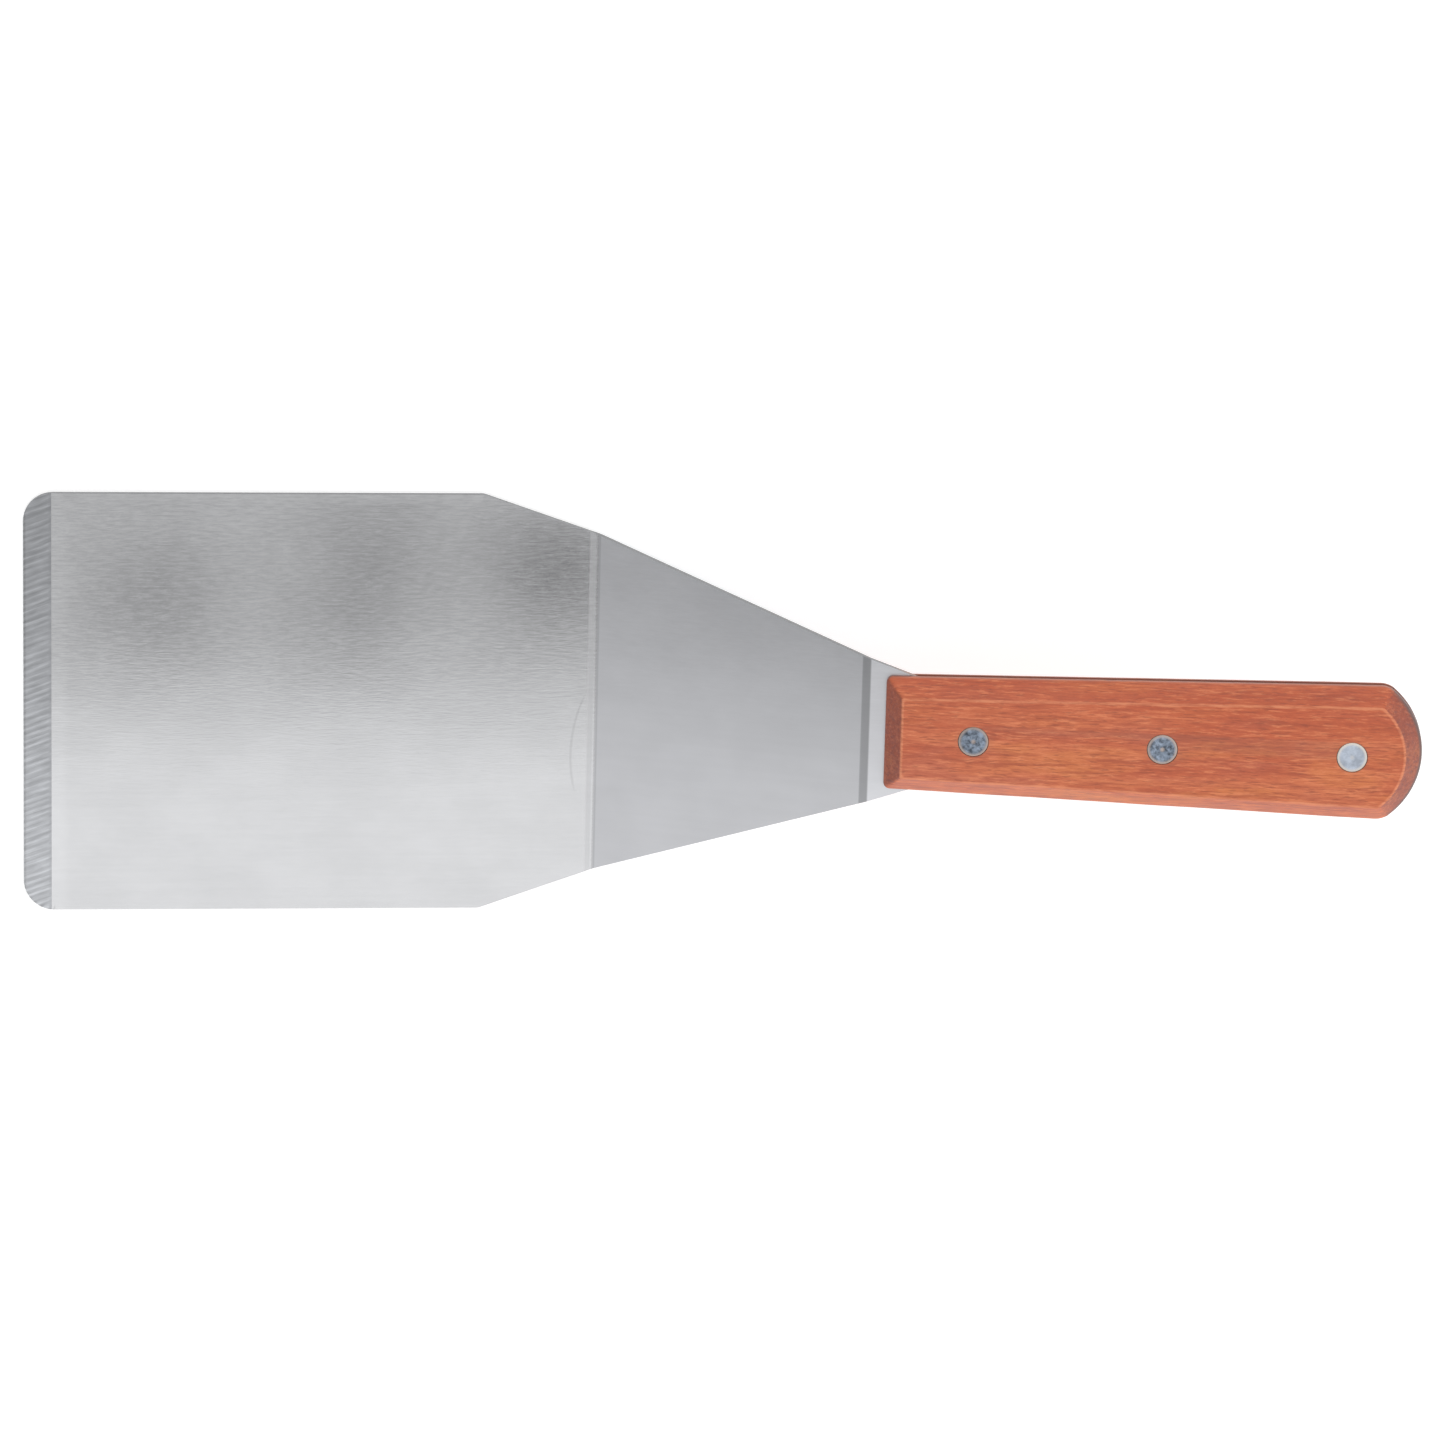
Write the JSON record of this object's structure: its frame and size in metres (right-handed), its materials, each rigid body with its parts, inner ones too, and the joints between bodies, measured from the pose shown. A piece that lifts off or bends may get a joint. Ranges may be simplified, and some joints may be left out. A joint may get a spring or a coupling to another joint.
{
  "type": "grill spatula",
  "caption": "Offset grill spatula: wide bevel-edged steel blade, rising tapered neck and full tang riveted between chamfered wooden scales.",
  "frame": {"origin": "centre of the flat blade's underside, halfway between the cutting edge and the heel bend", "axes": "+X from the cutting edge towards the handle, +Y across the blade, +Z out of the blade's upper face, the side that the neck and handle rise to"},
  "size_m": [0.3268, 0.1016, 0.0578],
  "materials": {
    "blade_steel": "satin, brushed along the length, coarsely ground at the cutting edge",
    "handle_wood": "red-brown hardwood, sanded and oiled, grain along the handle",
    "rivet_metal": "dull, pressed flush"
  },
  "bodies": {
    "root": {"blade": "blade_steel", "handle_scale_top": "handle_wood", "handle_scale_bottom": "handle_wood", "rivet_sleeve_front": "rivet_metal", "rivet_sleeve_middle": "rivet_metal", "rivet_sleeve_rear": "rivet_metal", "rivet_pin_front": "rivet_metal", "rivet_pin_middle": "rivet_metal", "rivet_pin_rear": "rivet_metal"}
  },
  "joints": []
}
